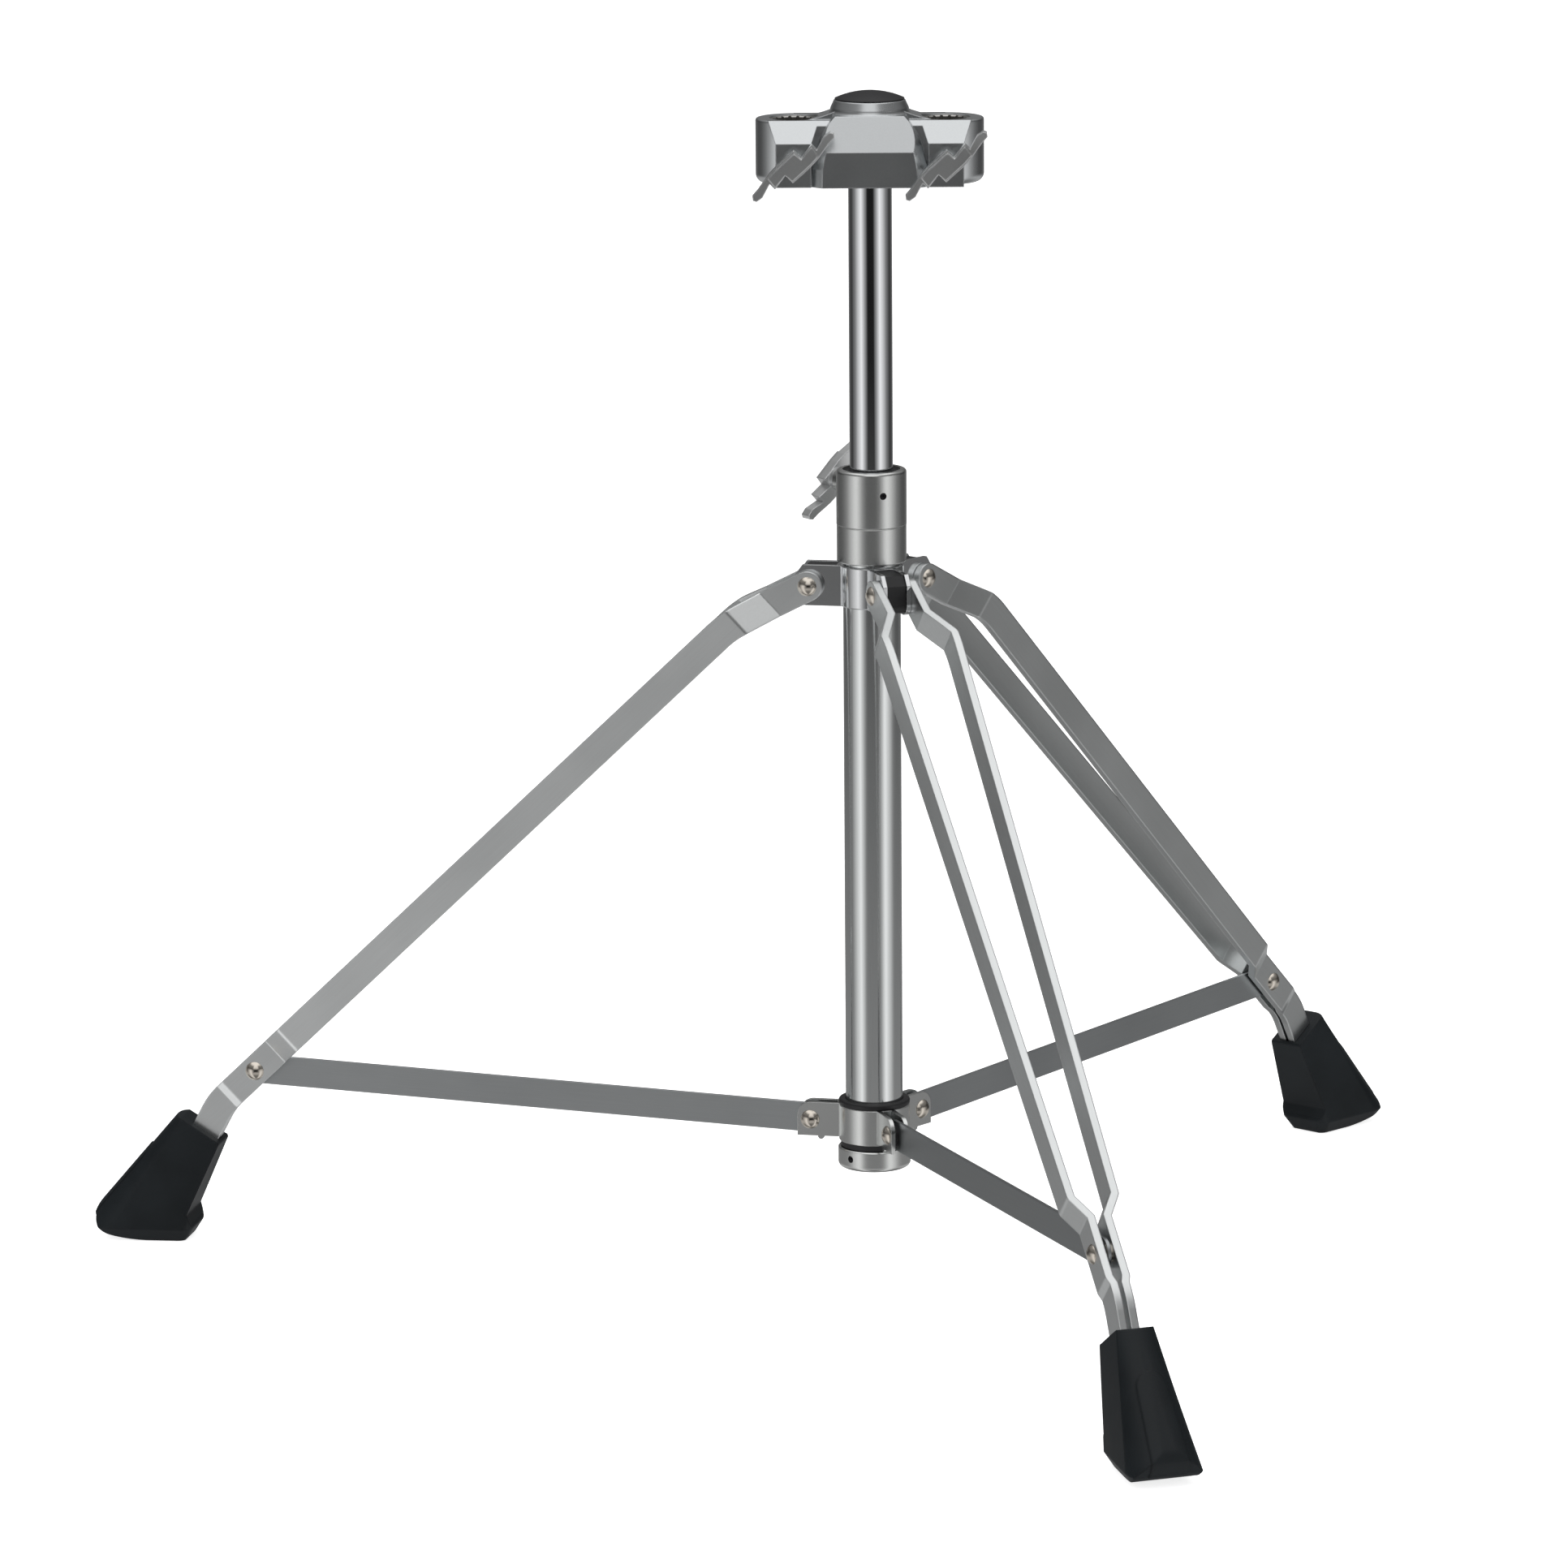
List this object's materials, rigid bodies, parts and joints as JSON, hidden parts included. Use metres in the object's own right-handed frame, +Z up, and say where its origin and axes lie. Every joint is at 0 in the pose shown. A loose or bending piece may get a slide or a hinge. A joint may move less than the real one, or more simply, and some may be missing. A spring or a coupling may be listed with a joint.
{
  "type": "double tom stand",
  "caption": "Free-standing double-braced tripod stand with a height-adjustable mast and a cast head that clamps the posts of tom arms.",
  "frame": {"origin": "on the floor, on the axis of the two tubes", "axes": "+Z up along the tubes; +X to the right through both receivers of the head; the wing bolts of the head face -Y"},
  "size_m": [0.8977, 0.934, 0.7933],
  "materials": {
    "tube_steel": "satin chrome",
    "chrome_tube": "mirror chrome",
    "polished_casting": "polished plated die casting",
    "satin_casting": "pearl nickel die casting",
    "flat_bar": "plated, satin grey",
    "rivet_steel": "nickel plated, domed",
    "screw_steel": "zinc plated",
    "wing_casting": "satin plated die casting",
    "receiver_steel": "fluted, machined",
    "black_nylon": "moulded nylon",
    "foot_rubber": "moulded rubber, matte"
  },
  "bodies": {
    "base": {"lower_tube": "tube_steel", "end_ring": "satin_casting", "end_ring_screw": "screw_steel", "mast_sleeve": "satin_casting", "sleeve_screw": "screw_steel", "sleeve_bush": "black_nylon", "upper_hub": "satin_casting", "hub_spacer_left": "black_nylon", "hub_spacer_front": "black_nylon", "hub_spacer_right": "black_nylon"},
    "sliding_hub": {"lower_hub": "satin_casting", "hub_bush": "black_nylon", "hub_pin_left": "rivet_steel", "hub_pin_front": "rivet_steel", "hub_pin_right": "rivet_steel"},
    "leg_left": {"leg_left_bar_a": "flat_bar", "leg_left_bar_b": "flat_bar", "leg_left_pivot": "rivet_steel", "leg_left_knee_a": "rivet_steel", "leg_left_knee_b": "rivet_steel", "leg_left_foot": "foot_rubber"},
    "leg_front": {"leg_front_bar_a": "flat_bar", "leg_front_bar_b": "flat_bar", "leg_front_pivot": "rivet_steel", "leg_front_knee_a": "rivet_steel", "leg_front_knee_b": "rivet_steel", "leg_front_foot": "foot_rubber"},
    "leg_right": {"leg_right_bar_a": "flat_bar", "leg_right_bar_b": "flat_bar", "leg_right_pivot": "rivet_steel", "leg_right_knee_a": "rivet_steel", "leg_right_knee_b": "rivet_steel", "leg_right_foot": "foot_rubber"},
    "brace_left": {"brace_left": "flat_bar", "brace_left_bush": "black_nylon"},
    "brace_front": {"brace_front": "flat_bar", "brace_front_bush": "black_nylon"},
    "brace_right": {"brace_right": "flat_bar", "brace_right_bush": "black_nylon"},
    "mast_slider": {"mast_guide": "black_nylon"},
    "mast": {"upper_tube": "chrome_tube", "head_casting": "polished_casting", "head_cap": "black_nylon", "receiver_left": "receiver_steel", "receiver_right": "receiver_steel"},
    "shoe_left": {"shoe_left": "screw_steel"},
    "wing_left": {"wing_left": "wing_casting", "screw_left": "screw_steel"},
    "shoe_right": {"shoe_right": "screw_steel"},
    "wing_right": {"wing_right": "wing_casting", "screw_right": "screw_steel"},
    "shoe_sleeve": {"shoe_sleeve": "screw_steel"},
    "wing_sleeve": {"wing_sleeve": "wing_casting", "screw_sleeve": "screw_steel"}
  },
  "joints": [
    {"name": "leg_left_fold", "type": "hinge", "parent": "base", "child": "leg_left", "pos_m": [-0.04001, 0.00749, 0.4665], "axis": [-0.184, -0.9829, 0], "range_deg": [0, 44]},
    {"name": "leg_front_fold", "type": "hinge", "parent": "base", "child": "leg_front", "pos_m": [0.01352, -0.03839, 0.4665], "axis": [0.9432, 0.3322, 0], "range_deg": [0, 44.5]},
    {"name": "leg_right_fold", "type": "hinge", "parent": "base", "child": "leg_right", "pos_m": [0.02649, 0.0309, 0.4665], "axis": [-0.7593, 0.6508, 0], "range_deg": [0, 44.5]},
    {"name": "hub_slide", "type": "slide", "parent": "base", "child": "sliding_hub", "axis": [0, 0, 1], "range_m": [0, 0.23]},
    {"name": "brace_left_swing", "type": "hinge", "parent": "sliding_hub", "child": "brace_left", "pos_m": [-0.04187, 0.00784, 0.1024], "axis": [-0.184, -0.9829, 0], "range_deg": [0, 88]},
    {"name": "brace_front_swing", "type": "hinge", "parent": "sliding_hub", "child": "brace_front", "pos_m": [0.01415, -0.04018, 0.1024], "axis": [0.9432, 0.3322, 0], "range_deg": [0, 88]},
    {"name": "brace_right_swing", "type": "hinge", "parent": "sliding_hub", "child": "brace_right", "pos_m": [0.02772, 0.03234, 0.1024], "axis": [-0.7593, 0.6508, 0], "range_deg": [0, 88]},
    {"name": "mast_height", "type": "slide", "parent": "base", "child": "mast_slider", "axis": [0, 0, 1], "range_m": [-0.15, 0.15]},
    {"name": "mast_turn", "type": "hinge", "parent": "mast_slider", "child": "mast", "pos_m": [0, 0, 0.5], "axis": [0, 0, 1], "continuous": true},
    {"name": "shoe_left_travel", "type": "slide", "parent": "mast", "child": "shoe_left", "axis": [0, -1, 0], "range_m": [0, 0.0025]},
    {"name": "wing_left_turn", "type": "hinge", "parent": "shoe_left", "child": "wing_left", "pos_m": [-0.0495, -0.0446, 0.7492], "axis": [0, -1, 0], "range_deg": [0, 728]},
    {"name": "shoe_right_travel", "type": "slide", "parent": "mast", "child": "shoe_right", "axis": [0, -1, 0], "range_m": [0, 0.0025]},
    {"name": "wing_right_turn", "type": "hinge", "parent": "shoe_right", "child": "wing_right", "pos_m": [0.0495, -0.0446, 0.7492], "axis": [0, -1, 0], "range_deg": [0, 728]},
    {"name": "shoe_sleeve_travel", "type": "slide", "parent": "base", "child": "shoe_sleeve", "axis": [-0.5592, 0.829, 0], "range_m": [0, 0.0025]},
    {"name": "wing_sleeve_turn", "type": "hinge", "parent": "shoe_sleeve", "child": "wing_sleeve", "pos_m": [-0.0255, 0.0378, 0.532], "axis": [-0.5592, 0.829, 0], "range_deg": [0, 728]}
  ],
  "couplings": [
    {"joint": "leg_front_fold", "follows": "leg_left_fold", "ratio": 1},
    {"joint": "leg_right_fold", "follows": "leg_left_fold", "ratio": 1},
    {"joint": "hub_slide", "follows": "leg_left_fold", "m_per_rad": 0.29885},
    {"joint": "brace_left_swing", "follows": "leg_left_fold", "ratio": 1.9877},
    {"joint": "brace_front_swing", "follows": "leg_left_fold", "ratio": 1.9877},
    {"joint": "brace_right_swing", "follows": "leg_left_fold", "ratio": 1.9877},
    {"joint": "wing_left_turn", "follows": "shoe_left_travel", "rad_per_m": 5026.5},
    {"joint": "wing_right_turn", "follows": "shoe_right_travel", "rad_per_m": 5026.5},
    {"joint": "wing_sleeve_turn", "follows": "shoe_sleeve_travel", "rad_per_m": 5026.5}
  ]
}
